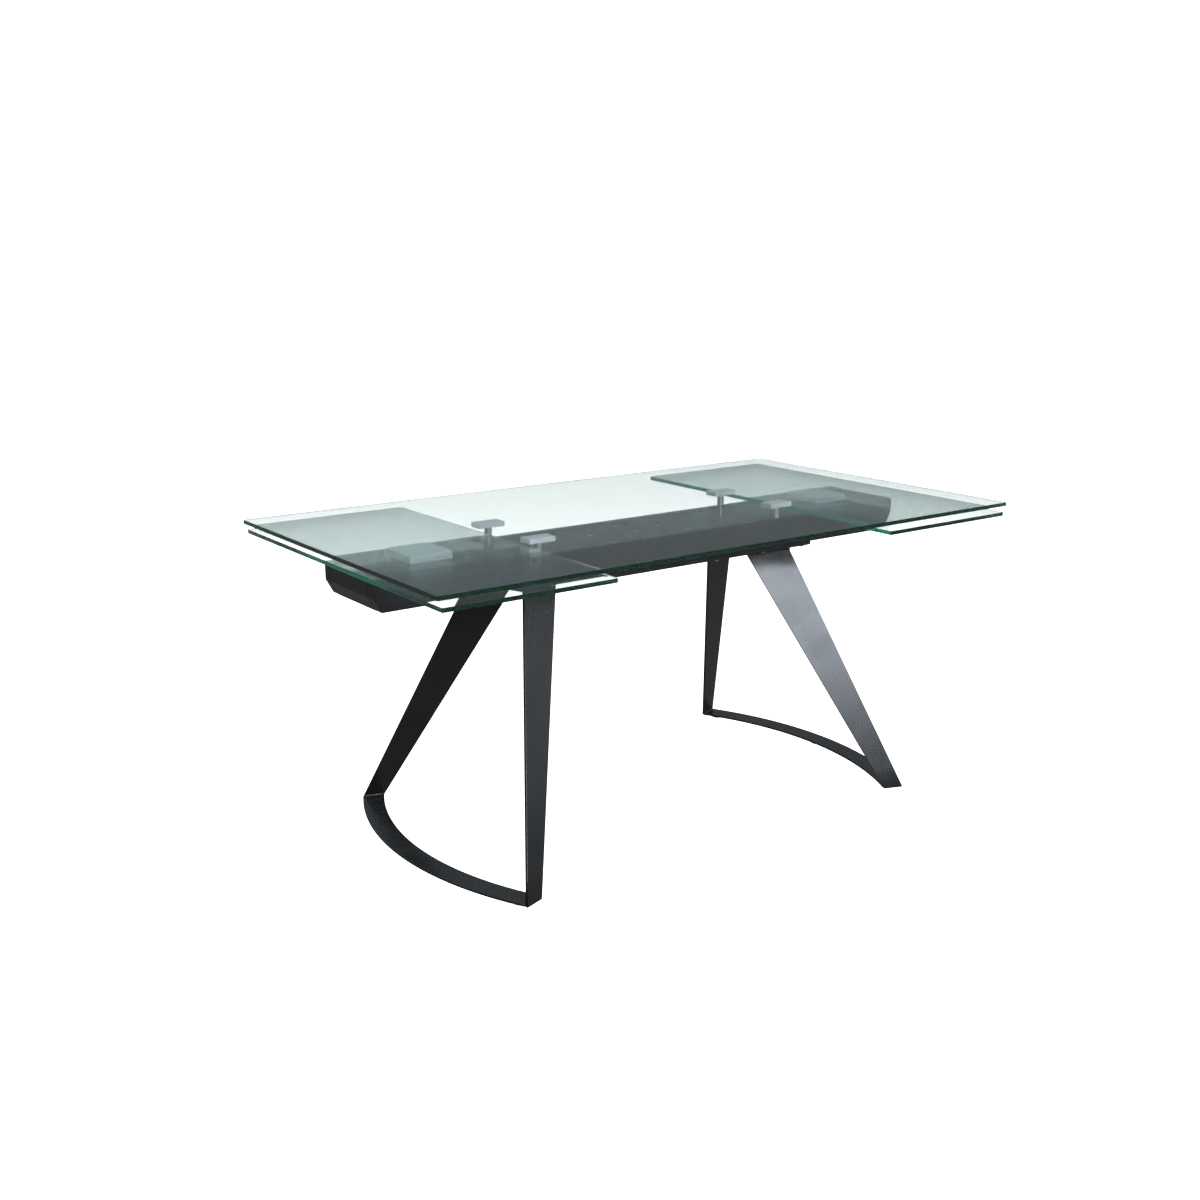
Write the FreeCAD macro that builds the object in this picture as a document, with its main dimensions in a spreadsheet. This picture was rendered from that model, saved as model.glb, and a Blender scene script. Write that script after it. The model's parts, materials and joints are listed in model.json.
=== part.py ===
"""Extending glass dining table: a fixed glass top, two sliding leaves below it and a splayed steel base.

Frame: millimetres, +Z up, +X along the table, origin on the floor under the middle of the top.
Side +1 is the +X half and side -1 the -X half, which is the same half turned 180 degrees about Z.
Front is -Y and back is +Y.
"""

import FreeCAD, Part
import math
import os
import re

import Sketcher

DIMENSIONS = {
    # glass
    "table_length": 1700,
    "table_width": 950,
    "table_height": 765,
    "glass_thickness": 10,
    "glass_corner": 3,
    "glass_edge": 0.8,
    "leaf_length": 425,
    "leaf_inset": 10,
    "leaf_gap": 15,
    # bearers of the fixed top
    "pad_length": 72,
    "pad_width": 40,
    "pad_thickness": 12,
    "post_radius": 9,
    "post_height": 30,
    "post_out": 374,
    "post_across": 110,
    "stud_radius": 4,
    "stud_length": 12,
    "spigot_radius": 5,
    "spigot_length": 8,
    "insert_radius": 5.5,
    "insert_length": 14,
    # blocks bonded under the leaves
    "block_length": 110,
    "block_width": 115,
    "block_out": 627,
    "block_screw_pitch": 70,
    "block_screw_radius": 4,
    "block_screw_depth": 12,
    # beam
    "beam_length": 1610,
    "beam_width": 240,
    "beam_height": 68,
    "bevel_height": 33,
    "bevel_depth": 18,
    "rail_width": 28,
    "rail_wall": 2.5,
    "floor_thickness": 2,
    "web_thickness": 8,
    "buffer_radius": 5,
    "buffer_length": 7,
    "buffer_across": 77.5,
    # sliding arms
    "arm_start": 12,
    "arm_half_width": 79.5,
    "arm_wall": 3,
    "arm_clearance": 5,
    "cover_drop": 1,
    "cover_thickness": 2.5,
    "cover_gap": 0.75,
    "cap_thickness": 3.2,
    "cap_clearance": 3.5,
    # telescopic slides
    "slide_start": 20,
    "slide_length": 740,
    "slide_centre": 679,
    "outer_height": 46,
    "outer_lip": 10,
    "outer_wall": 1.5,
    "middle_height": 39,
    "middle_lip": 8.2,
    "middle_wall": 1.2,
    "middle_gap": 2.8,
    "inner_height": 32.6,
    "inner_lip": 7,
    "inner_wall": 1.5,
    # mounting plate under the beam
    "plate_thickness": 9,
    "plate_long_end": 497,
    "plate_short_end": 430,
    "plate_bolt_across": 106,
    "plate_bolt_radius": 4,
    "plate_bolt_head": 7,
    "plate_bolt_head_height": 5,
    "plate_bolt_length": 16,
    # legs and foot rails
    "glide_height": 6,
    "glide_radius": 20,
    "glide_turn": 26,
    "steel_thickness": 6,
    "leg_turn": 19.7,
    "leg_lean": 17.6,
    "leg_foot_x": 601.3,
    "leg_foot_y": 394.8,
    "leg_foot_width": 53.9,
    "leg_top_x": 420.4,
    "leg_top_y": 119.8,
    "leg_top_width": 125.4,
    "flange_depth": 62,
    "flange_bolt_inset": 26,
    "flange_bolt_pitch": 76,
    "arc_offset": 128.6,
    "arc_outer_radius": 828.6,
    "arc_width": 55.3,
    "arc_end_outer": 386.9,
    "arc_end_inner": 368.7,
}

PLATE_BOLTS_OUT = (175, 335, 475)
SIDES = {"left": -1, "right": 1}
ROWS = {"front": -1, "back": 1}

doc = FreeCAD.newDocument("extending_table")
size = doc.addObject("Spreadsheet::Sheet", "size")
for line, (name, number) in enumerate(DIMENSIONS.items(), start=1):
    size.set(f"A{line}", name)
    size.set(f"B{line}", str(number))
    size.setAlias(f"B{line}", name)
doc.recompute()

# Levels, as expressions in the sheet's names.
BEAM_TOP = "(table_height - glass_thickness - pad_thickness - post_height)"
BEAM_BOTTOM = f"({BEAM_TOP} - beam_height)"
PLATE_BOTTOM = f"({BEAM_BOTTOM} - plate_thickness)"
LEG_TOP = f"({PLATE_BOTTOM} - steel_thickness)"
LEG_BOTTOM = "glide_height"
LEAF_TOP = "(table_height - glass_thickness - leaf_gap)"
LEAF_BOTTOM = f"({LEAF_TOP} - glass_thickness)"
COVER_TOP = f"({BEAM_TOP} - cover_drop)"
ARM_TOP = f"({COVER_TOP} - cover_thickness)"
RAIL_INNER = "(beam_width / 2 - rail_width)"
PAD_BOTTOM = "(table_height - glass_thickness - pad_thickness)"
CAP_INNER = "(beam_length / 2 - cap_thickness)"
RAKE = "(bevel_depth / bevel_height)"
RAKE_STRETCH = f"(sqrt(1 + {RAKE} ^ 2) - 1)"
CAP_FOLD = f"({BEAM_BOTTOM} + bevel_height + cap_thickness * {RAKE_STRETCH} / {RAKE})"

parts = []


def bound(expression):
    """The expression with every sheet name written as setExpression wants it."""
    return re.sub(r"[a-z_]+", lambda word: f"size.{word[0]}" if word[0] in DIMENSIONS else word[0], str(expression))


def measure(expression):
    """The present value of an expression in the sheet's names."""
    return float(size.evalExpression(str(expression)))


def bind(thing, **expressions):
    """Ties properties to the sheet; a double underscore stands for the dot in a property's path."""
    for path, expression in expressions.items():
        thing.setExpression(path.replace("__", "."), bound(expression))


def keep(thing, label):
    """Names a finished sub-part and puts it on the list that is exported."""
    thing.Label = label
    parts.append(thing)
    return thing


# ---------------------------------------------------------------- sketches and bodies


def new_body(label, half_turn=False):
    """An empty body; with half_turn it stands turned 180 degrees about Z, for the -X half."""
    body = doc.addObject("PartDesign::Body", label)
    if half_turn:
        body.Placement = FreeCAD.Placement(FreeCAD.Vector(), FreeCAD.Rotation(180, 0, 0))
    return body


def new_sketch(body, plane, offset="0"):
    """A sketch on one of the body's origin planes, moved along the plane's normal."""
    sketch = body.newObject("Sketcher::SketchObject", f"{body.Name}_{plane}")
    origin_plane = next(item for item in body.Origin.OriginFeatures if item.Role == plane)
    sketch.AttachmentSupport = [(origin_plane, "")]
    sketch.MapMode = "FlatFace"
    bind(sketch, AttachmentOffset__Base__z=offset)
    return sketch


def pin(sketch, geometry, vertex, across, up):
    """Holds one vertex of a sketch at a place given by two expressions."""
    for kind, axis, expression in (("DistanceX", -2, across), ("DistanceY", -1, up)):
        value = measure(expression)
        if abs(value) < 1e-9:
            sketch.addConstraint(Sketcher.Constraint("PointOnObject", geometry, vertex, axis))
        else:
            number = sketch.addConstraint(Sketcher.Constraint(kind, -1, 1, geometry, vertex, value))
            sketch.setExpression(f"Constraints[{number}]", bound(expression))


def outline(sketch, corners):
    """A closed straight-sided outline; each corner is a pair of expressions."""
    points = [FreeCAD.Vector(measure(across), measure(up), 0) for across, up in corners]
    first = sketch.GeometryCount
    for start, end in zip(points, points[1:] + points[:1]):
        sketch.addGeometry(Part.LineSegment(start, end))
    for side, (across, up) in enumerate(corners):
        after = first + (side + 1) % len(corners)
        sketch.addConstraint(Sketcher.Constraint("Coincident", first + side, 2, after, 1))
        pin(sketch, first + side, 1, across, up)


def rectangle(sketch, low_across, high_across, low_up, high_up):
    """A closed rectangle between two pairs of expressions."""
    outline(
        sketch,
        [(low_across, low_up), (high_across, low_up), (high_across, high_up), (low_across, high_up)],
    )


def hole(sketch, across, up, radius):
    """A circle in the sketch, which the pad leaves open."""
    centre = FreeCAD.Vector(measure(across), measure(up), 0)
    circle = sketch.addGeometry(Part.Circle(centre, FreeCAD.Vector(0, 0, 1), measure(radius)))
    pin(sketch, circle, 3, across, up)
    number = sketch.addConstraint(Sketcher.Constraint("Radius", circle, measure(radius)))
    sketch.setExpression(f"Constraints[{number}]", bound(radius))


def pad(body, sketch, length):
    """Pads a sketch along its normal and makes the pad the body's tip."""
    feature = body.newObject("PartDesign::Pad", f"{body.Name}_pad")
    feature.Profile = sketch
    bind(feature, Length=length)
    doc.recompute()
    return feature


def edges_where(shape, test):
    """Names of the edges whose two end points pass the test."""
    return [
        f"Edge{number}"
        for number, edge in enumerate(shape.Edges, start=1)
        if len(edge.Vertexes) == 2 and test(edge.Vertexes[0].Point, edge.Vertexes[1].Point)
    ]


def dress(body, kind, size_name, base, edges, expression):
    """A PartDesign Fillet or Chamfer on named edges of the feature below it."""
    feature = body.newObject(f"PartDesign::{kind}", f"{body.Name}_{kind.lower()}")
    feature.Base = (base, edges)
    bind(feature, **{size_name: expression})
    doc.recompute()
    return feature


def upright(start, end):
    """True for an edge that runs straight up."""
    return abs(start.x - end.x) < 1e-6 and abs(start.y - end.y) < 1e-6


def slab(label, length, width, height, x, y, z, side=1):
    """A box tied to the sheet; side -1 turns it about Z into the other half."""
    box = doc.addObject("Part::Box", label)
    bind(box, Length=length, Width=width, Height=height)
    if side < 0:
        box.Placement = FreeCAD.Placement(FreeCAD.Vector(), FreeCAD.Rotation(180, 0, 0))
    bind(box, Placement__Base__x=f"{side} * ({x})", Placement__Base__y=f"{side} * ({y})", Placement__Base__z=z)
    return box


def rod(label, radius, length, x, y, z):
    """An upright cylinder tied to the sheet."""
    cylinder = doc.addObject("Part::Cylinder", label)
    bind(cylinder, Radius=radius, Height=length)
    bind(cylinder, Placement__Base__x=x, Placement__Base__y=y, Placement__Base__z=z)
    return cylinder


def group(label, members):
    """Identical loose pieces that share one node, as separate solids."""
    compound = doc.addObject("Part::Compound", label)
    compound.Links = members
    return keep(compound, label)


# ---------------------------------------------------------------- glass and what carries it


def glass_sheet(label, low_x, high_x, bottom, half_turn=False):
    """A float glass sheet with small rounded corners and ground edges."""
    body = new_body(label, half_turn)
    sketch = new_sketch(body, "XY_Plane", bottom)
    rectangle(sketch, low_x, high_x, "-table_width / 2", "table_width / 2")
    sheet = pad(body, sketch, "glass_thickness")
    rounded = dress(body, "Fillet", "Radius", sheet, edges_where(sheet.Shape, upright), "glass_corner")
    middle = measure(f"{bottom} + glass_thickness / 2")
    level = edges_where(rounded.Shape, lambda start, end: abs(start.z - end.z) < 1e-6 and abs(start.z - middle) > 1)
    dress(body, "Chamfer", "Size", rounded, level, "glass_edge")
    return keep(body, label)


def top_bearer(side_name, row_name):
    """One T-shaped bearer: a chromed post with a threaded stud, and the bright pad bonded under the glass."""
    x = f"{SIDES[side_name]} * post_out"
    y = f"{ROWS[row_name]} * post_across"
    name = f"{side_name}_{row_name}"
    block = slab(
        f"top_pad_block_{name}",
        "pad_length", "pad_width", "pad_thickness",
        f"{x} - pad_length / 2", f"{y} - pad_width / 2", PAD_BOTTOM,
    )
    socket = rod(f"top_pad_socket_{name}", "spigot_radius", "spigot_length", x, y, PAD_BOTTOM)
    top_pad = doc.addObject("Part::Cut", f"top_pad_{name}")
    top_pad.Base = block
    top_pad.Tool = socket
    keep(top_pad, f"top_pad_{name}")

    body = new_body(f"top_post_{name}")
    bind(body, Placement__Base__x=x, Placement__Base__y=y)
    profile = new_sketch(body, "XZ_Plane")
    outline(
        profile,
        [
            ("0", f"{BEAM_TOP} - stud_length"),
            ("stud_radius", f"{BEAM_TOP} - stud_length"),
            ("stud_radius", BEAM_TOP),
            ("post_radius", BEAM_TOP),
            ("post_radius", PAD_BOTTOM),
            ("spigot_radius", PAD_BOTTOM),
            ("spigot_radius", f"{PAD_BOTTOM} + spigot_length"),
            ("0", f"{PAD_BOTTOM} + spigot_length"),
        ],
    )
    turned = body.newObject("PartDesign::Revolution", f"top_post_turned_{name}")
    turned.Profile = profile
    turned.ReferenceAxis = (profile, ["V_Axis"])
    turned.Angle = 360
    keep(body, f"top_post_{name}")


def post_insert(name, x, y):
    """A threaded insert set in the rail's top wall, which takes a post's stud."""
    sleeve = rod(f"post_insert_sleeve_{name}", "insert_radius", "insert_length", x, y, f"{BEAM_TOP} - insert_length")
    bore = rod(f"post_insert_bore_{name}", "stud_radius", "insert_length", x, y, f"{BEAM_TOP} - insert_length")
    insert = doc.addObject("Part::Cut", f"post_insert_{name}")
    insert.Base = sleeve
    insert.Tool = bore
    return insert


# ---------------------------------------------------------------- beam


def beam_outline(sketch, inset):
    """The beam's long side: square ends at the top, raked ends below, drawn in by an inset all round."""
    corners = [
        (f"beam_length / 2 - bevel_depth - {inset}", f"{BEAM_BOTTOM} + {inset}"),
        (f"beam_length / 2 - {inset}", f"{BEAM_BOTTOM} + bevel_height + {inset} / 4"),
        (f"beam_length / 2 - {inset}", f"{BEAM_TOP} - {inset}"),
    ]
    other_end = [(f"-({across})", up) for across, up in reversed(corners)]
    outline(sketch, corners + other_end)


def side_rail(row_name):
    """One closed box-section rail of the beam, with holes for the inserts and the plate's bolts."""
    row = ROWS[row_name]
    near_face = f"({RAIL_INNER})" if row > 0 else "(-beam_width / 2)"

    shell = new_body(f"rail_shell_{row_name}")
    shell_sketch = new_sketch(shell, "XZ_Plane", f"-({near_face} + rail_width)")
    beam_outline(shell_sketch, "0")
    pad(shell, shell_sketch, "rail_width")

    cavity = new_body(f"rail_cavity_{row_name}")
    cavity_sketch = new_sketch(cavity, "XZ_Plane", f"-({near_face} + rail_width - rail_wall)")
    beam_outline(cavity_sketch, "rail_wall")
    pad(cavity, cavity_sketch, "rail_width - 2 * rail_wall")

    tools = [cavity]
    for side_name, side in SIDES.items():
        x = f"{side} * post_out"
        y = f"{row} * post_across"
        tools.append(
            rod(f"rail_insert_hole_{side_name}_{row_name}", "insert_radius", "2 * rail_wall", x, y, f"{BEAM_TOP} - 2 * rail_wall")
        )
        for out in PLATE_BOLTS_OUT:
            x = f"{side} * {out}"
            y = f"{row} * plate_bolt_across"
            tools.append(
                rod(f"rail_bolt_hole_{side_name}_{row_name}_{out}", "plate_bolt_radius", "2 * rail_wall", x, y, BEAM_BOTTOM)
            )
    hollow = doc.addObject("Part::MultiFuse", f"rail_hollow_{row_name}")
    hollow.Shapes = tools
    rail = doc.addObject("Part::Cut", f"side_rail_{row_name}")
    rail.Base = shell
    rail.Tool = hollow
    keep(rail, f"side_rail_{row_name}")


def centre_buffer(side_name, row_name):
    """A rubber buffer on the centre web, which an arm meets when its leaf is pushed home."""
    buffer = doc.addObject("Part::Cylinder", f"buffer_{side_name}_{row_name}")
    bind(buffer, Radius="buffer_radius", Height="buffer_length")
    buffer.Placement = FreeCAD.Placement(
        FreeCAD.Vector(), FreeCAD.Rotation(FreeCAD.Vector(0, 1, 0), 90 * SIDES[side_name])
    )
    bind(
        buffer,
        Placement__Base__x=f"{SIDES[side_name]} * web_thickness / 2",
        Placement__Base__y=f"{ROWS[row_name]} * buffer_across",
        Placement__Base__z="slide_centre",
    )
    return buffer


# ---------------------------------------------------------------- sliding arms


def arm_frame(side_name):
    """A folded channel, open below, that carries a leaf and rides between the slides."""
    body = new_body(f"arm_frame_{side_name}", SIDES[side_name] < 0)
    low = f"{BEAM_BOTTOM} + arm_clearance"
    low_end = f"{CAP_INNER} - cap_thickness * {RAKE_STRETCH} - {RAKE} * (bevel_height - arm_clearance)"
    side_view = new_sketch(body, "XZ_Plane", "-arm_half_width")
    outline(
        side_view,
        [
            ("arm_start", low),
            (low_end, low),
            (CAP_INNER, CAP_FOLD),
            (CAP_INNER, ARM_TOP),
            ("arm_start", ARM_TOP),
        ],
    )
    solid = pad(body, side_view, "2 * arm_half_width")
    end_view = new_sketch(body, "YZ_Plane", "0")
    inner = "arm_half_width - arm_wall"
    rectangle(end_view, f"-({inner})", inner, f"{BEAM_BOTTOM}", f"{ARM_TOP} - arm_wall")
    hollow = body.newObject("PartDesign::Pocket", f"arm_hollow_{side_name}")
    hollow.Profile = end_view
    hollow.Reversed = True
    bind(hollow, Length="beam_length / 2")
    doc.recompute()
    if hollow.Shape.Volume > 0.3 * solid.Shape.Volume:
        raise RuntimeError("the arm's hollow was not cut")
    holes = new_sketch(body, "XY_Plane", f"{ARM_TOP} - arm_wall")
    for across, along in block_screw_places():
        hole(holes, across, along, "block_screw_radius")
    drilled = body.newObject("PartDesign::Pocket", f"arm_holes_{side_name}")
    drilled.Profile = holes
    drilled.Reversed = True
    bind(drilled, Length="arm_wall")
    doc.recompute()
    if drilled.Shape.Volume >= hollow.Shape.Volume:
        raise RuntimeError("the arm's holes were not cut")
    keep(body, f"arm_frame_{side_name}")


def block_screw_places():
    """The four screws of a leaf's block, as pairs of expressions in the +X half."""
    half = "block_screw_pitch / 2"
    return [(f"block_out + {i} * {half}", f"{j} * {half}") for i in (-1, 1) for j in (-1, 1)]


def arm_cover(side_name):
    """The flat cover plate over an arm, just below the beam's top faces."""
    body = new_body(f"arm_cover_{side_name}", SIDES[side_name] < 0)
    sketch = new_sketch(body, "XY_Plane", ARM_TOP)
    rectangle(sketch, "cover_gap", CAP_INNER, f"-({RAIL_INNER} - cover_gap)", f"{RAIL_INNER} - cover_gap")
    for across, along in block_screw_places():
        hole(sketch, across, along, "block_screw_radius")
    pad(body, sketch, "cover_thickness")
    keep(body, f"arm_cover_{side_name}")


def leaf_block(side_name):
    """The square bright block bonded under a leaf and screwed to its arm."""
    body = new_body(f"leaf_block_{side_name}", SIDES[side_name] < 0)
    sketch = new_sketch(body, "XY_Plane", COVER_TOP)
    rectangle(
        sketch,
        "block_out - block_length / 2", "block_out + block_length / 2", "-block_width / 2", "block_width / 2",
    )
    block = pad(body, sketch, f"{LEAF_BOTTOM} - {COVER_TOP}")
    holes = new_sketch(body, "XY_Plane", COVER_TOP)
    for across, along in block_screw_places():
        hole(holes, across, along, "block_screw_radius")
    drilled = body.newObject("PartDesign::Pocket", f"block_holes_{side_name}")
    drilled.Profile = holes
    drilled.Reversed = True
    bind(drilled, Length="block_screw_depth")
    doc.recompute()
    if drilled.Shape.Volume >= block.Shape.Volume:
        raise RuntimeError("the block's holes were not cut")
    keep(body, f"leaf_block_{side_name}")


def arm_end_cap(side_name):
    """The folded plate that closes an arm's outer end, flush with the beam's ends."""
    body = new_body(f"arm_end_cap_{side_name}", SIDES[side_name] < 0)
    bottom = f"{BEAM_BOTTOM} + cap_clearance"
    drawn_in = f"{RAKE} * (bevel_height - cap_clearance)"
    half_width = f"({RAIL_INNER} - cover_gap)"
    sketch = new_sketch(body, "XZ_Plane", f"-{half_width}")
    outline(
        sketch,
        [
            (f"beam_length / 2 - {drawn_in}", bottom),
            ("beam_length / 2", f"{BEAM_BOTTOM} + bevel_height"),
            ("beam_length / 2", COVER_TOP),
            (CAP_INNER, COVER_TOP),
            (CAP_INNER, CAP_FOLD),
            (f"{CAP_INNER} - cap_thickness * {RAKE_STRETCH} - {drawn_in}", bottom),
        ],
    )
    pad(body, sketch, f"2 * {half_width}")
    keep(body, f"arm_end_cap_{side_name}")


def slide_member(kind, side_name, row_name, web_outside, web_inside, lips_end):
    """One pressed channel of a telescopic slide: a web and two lips that point across the table."""
    row = ROWS[row_name]
    side = SIDES[side_name]
    half_turn = side < 0
    across = row * side
    name = f"slide_{kind}_{side_name}_{row_name}"
    body = new_body(name, half_turn)
    low = f"slide_centre - {kind}_height / 2"
    high = f"slide_centre + {kind}_height / 2"
    section = new_sketch(body, "YZ_Plane", "slide_start")
    outline(
        section,
        [
            (f"{across} * ({web_outside})", low),
            (f"{across} * ({lips_end})", low),
            (f"{across} * ({lips_end})", f"{low} + {kind}_wall"),
            (f"{across} * ({web_inside})", f"{low} + {kind}_wall"),
            (f"{across} * ({web_inside})", f"{high} - {kind}_wall"),
            (f"{across} * ({lips_end})", f"{high} - {kind}_wall"),
            (f"{across} * ({lips_end})", high),
            (f"{across} * ({web_outside})", high),
        ],
    )
    pad(body, section, "slide_length")
    keep(body, name)


def screw_group(label, places, head_radius, head_height, shank_radius, shank_length, seat, side=1):
    """Upward-pointing screws: each a round head below its seat and a shank above it."""
    screws = []
    for number, (x, y) in enumerate(places, start=1):
        x = f"{side} * ({x})"
        y = f"{side} * ({y})"
        head = rod(f"{label}_head_{number}", head_radius, head_height, x, y, f"{seat} - {head_height}")
        shank = rod(f"{label}_shank_{number}", shank_radius, shank_length, x, y, seat)
        screw = doc.addObject("Part::Fuse", f"{label}_screw_{number}")
        screw.Base = head
        screw.Tool = shank
        screws.append(screw)
    return group(label, screws)


# ---------------------------------------------------------------- base


def base_plate():
    """The mounting plate bolted under the beam, cut as a parallelogram with skewed ends."""
    body = new_body("base_plate")
    sketch = new_sketch(body, "XY_Plane", PLATE_BOTTOM)
    outline(
        sketch,
        [
            ("-plate_short_end", "-beam_width / 2"),
            ("plate_long_end", "-beam_width / 2"),
            ("plate_short_end", "beam_width / 2"),
            ("-plate_long_end", "beam_width / 2"),
        ],
    )
    for x, y in plate_bolt_places("under the plate") + flange_bolt_places():
        hole(sketch, x, y, "plate_bolt_radius")
    pad(body, sketch, "plate_thickness")
    keep(body, "base_plate")


def plate_bolt_places(where):
    """Bolts up into the rails: those under the plate, or the two that stand beside its cut-back corners."""
    places = []
    for side in SIDES.values():
        for row in ROWS.values():
            for out in PLATE_BOLTS_OUT:
                beside = side == row and out > measure("plate_short_end")
                if beside == (where == "beside the plate"):
                    places.append((f"{side} * {out}", f"{row} * plate_bolt_across"))
    return places


def leg_axes(side, row):
    """Horizontal unit vectors of a leg: outwards along its width, and inwards through its thickness."""
    turn = math.radians(measure("leg_turn"))
    outwards = FreeCAD.Vector(side * math.cos(turn), row * math.sin(turn), 0)
    inwards = FreeCAD.Vector(side * math.sin(turn), -row * math.cos(turn), 0)
    return outwards, inwards


def flange_bolt_places():
    """Two bolts in each leg's flange, on a line inside the leg's top edge."""
    places = []
    for side in SIDES.values():
        for row in ROWS.values():
            for step in (-1, 1):
                back = f"(leg_top_width / 2 + {step} * flange_bolt_pitch / 2)"
                depth = "(steel_thickness + flange_bolt_inset)"
                x = f"{side} * (leg_top_x - {back} * cos(leg_turn) + {depth} * sin(leg_turn))"
                y = f"{row} * (leg_top_y - {back} * sin(leg_turn) - {depth} * cos(leg_turn))"
                places.append((x, y))
    return places


def section_in_leg_frame(sketch, sign, corner_x, corner_y, width, depth):
    """A rectangle along a leg's width, from its outer corner inwards, in the leg's own turned axes."""
    along = f"({corner_x} * cos(leg_turn) + {corner_y} * sin(leg_turn))"
    across = f"({corner_x} * sin(leg_turn) - {corner_y} * cos(leg_turn))"
    outline(
        sketch,
        [
            (f"{along}", f"{sign} * {across}"),
            (f"{along} - {width}", f"{sign} * {across}"),
            (f"{along} - {width}", f"{sign} * ({across} + {depth})"),
            (f"{along}", f"{sign} * ({across} + {depth})"),
        ],
    )


def turned_body(label, side, row):
    """A body whose X axis runs outwards along a leg's width."""
    outwards, _ = leg_axes(side, row)
    body = new_body(label)
    body.Placement = FreeCAD.Placement(
        FreeCAD.Vector(), FreeCAD.Rotation(FreeCAD.Vector(1, 0, 0), outwards)
    )
    return body


def leg(side_name, row_name):
    """One tapered plate leg, lofted between its level foot and top cuts, with the flange it is welded to."""
    side = SIDES[side_name]
    row = ROWS[row_name]
    sign = -side * row
    name = f"leg_{side_name}_{row_name}"
    body = turned_body(name, side, row)
    slope_thickness = "steel_thickness / cos(leg_lean)"
    foot = new_sketch(body, "XY_Plane", LEG_BOTTOM)
    section_in_leg_frame(foot, sign, "leg_foot_x", "leg_foot_y", "leg_foot_width", slope_thickness)
    top = new_sketch(body, "XY_Plane", LEG_TOP)
    section_in_leg_frame(top, sign, "leg_top_x", "leg_top_y", "leg_top_width", slope_thickness)
    plate = body.newObject("PartDesign::AdditiveLoft", f"{name}_plate")
    plate.Profile = foot
    plate.Sections = [top]
    plate.Ruled = True
    doc.recompute()
    keep(body, name)

    flange = turned_body(f"leg_flange_{side_name}_{row_name}", side, row)
    sketch = new_sketch(flange, "XY_Plane", LEG_TOP)
    section_in_leg_frame(sketch, sign, "leg_top_x", "leg_top_y", "leg_top_width", "flange_depth")
    along = "(leg_top_x * cos(leg_turn) + leg_top_y * sin(leg_turn))"
    across = "(leg_top_x * sin(leg_turn) - leg_top_y * cos(leg_turn))"
    for step in (-1, 1):
        hole(
            sketch,
            f"{along} - leg_top_width / 2 - {step} * flange_bolt_pitch / 2",
            f"{sign} * ({across} + steel_thickness + flange_bolt_inset)",
            "plate_bolt_radius",
        )
    pad(flange, sketch, "steel_thickness")
    keep(flange, f"leg_flange_{side_name}_{row_name}")


def foot_rail(side_name):
    """A flat bar on the floor side, bowed outwards, that ties the two feet of one end together."""
    body = new_body(f"foot_rail_{side_name}", SIDES[side_name] < 0)
    sketch = new_sketch(body, "XY_Plane", "glide_height")
    centre = FreeCAD.Vector(-measure("arc_offset"), 0, 0)
    arcs = []
    for radius, end in (("arc_outer_radius", "arc_end_outer"), ("arc_outer_radius - arc_width", "arc_end_inner")):
        half_angle = math.asin(measure(end) / measure(radius))
        circle = Part.Circle(centre, FreeCAD.Vector(0, 0, 1), measure(radius))
        arc = sketch.addGeometry(Part.ArcOfCircle(circle, -half_angle, half_angle))
        number = sketch.addConstraint(Sketcher.Constraint("Radius", arc, measure(radius)))
        sketch.setExpression(f"Constraints[{number}]", bound(radius))
        arcs.append((arc, end))
    outer, inner = arcs[0][0], arcs[1][0]
    pin(sketch, outer, 3, "-arc_offset", "0")
    sketch.addConstraint(Sketcher.Constraint("Coincident", outer, 3, inner, 3))
    for vertex in (1, 2):
        line = sketch.addGeometry(
            Part.LineSegment(sketch.getPoint(outer, vertex), sketch.getPoint(inner, vertex))
        )
        sketch.addConstraint(Sketcher.Constraint("Coincident", line, 1, outer, vertex))
        sketch.addConstraint(Sketcher.Constraint("Coincident", line, 2, inner, vertex))
        for arc, end in arcs:
            sign = -1 if vertex == 1 else 1
            value = sign * measure(end)
            number = sketch.addConstraint(Sketcher.Constraint("DistanceY", -1, 1, arc, vertex, value))
            sketch.setExpression(f"Constraints[{number}]", bound(f"{sign} * {end}"))
    pad(body, sketch, "steel_thickness")
    keep(body, f"foot_rail_{side_name}")


def glides(side_name):
    """Three floor pads under a foot rail, on its middle line."""
    radius = "(arc_outer_radius - arc_width / 2)"
    side = SIDES[side_name]
    members = []
    for number, step in enumerate((-1, 0, 1), start=1):
        x = f"{side} * ({radius} * cos({step} * glide_turn) - arc_offset)"
        y = f"{radius} * sin({step} * glide_turn)"
        members.append(rod(f"glide_{side_name}_{number}", "glide_radius", "glide_height", x, y, "0"))
    group(f"glides_{side_name}", members)


# ---------------------------------------------------------------- the whole table

glass_sheet("main_glass", "-table_length / 2", "table_length / 2", "table_height - glass_thickness")

inserts = []
for side_name, side in SIDES.items():
    for row_name, row in ROWS.items():
        top_bearer(side_name, row_name)
        inserts.append(post_insert(f"{side_name}_{row_name}", f"{side} * post_out", f"{row} * post_across"))
        leg(side_name, row_name)
        slide_member(
            "outer", side_name, row_name,
            RAIL_INNER, f"{RAIL_INNER} - outer_wall", f"{RAIL_INNER} - outer_lip",
        )
        slide_member(
            "middle", side_name, row_name,
            f"{RAIL_INNER} - middle_gap", f"{RAIL_INNER} - middle_gap - middle_wall",
            f"{RAIL_INNER} - middle_gap - middle_lip",
        )
        slide_member(
            "inner", side_name, row_name,
            "arm_half_width", "arm_half_width + inner_wall", "arm_half_width + inner_lip",
        )
group("post_inserts", inserts)

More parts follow.
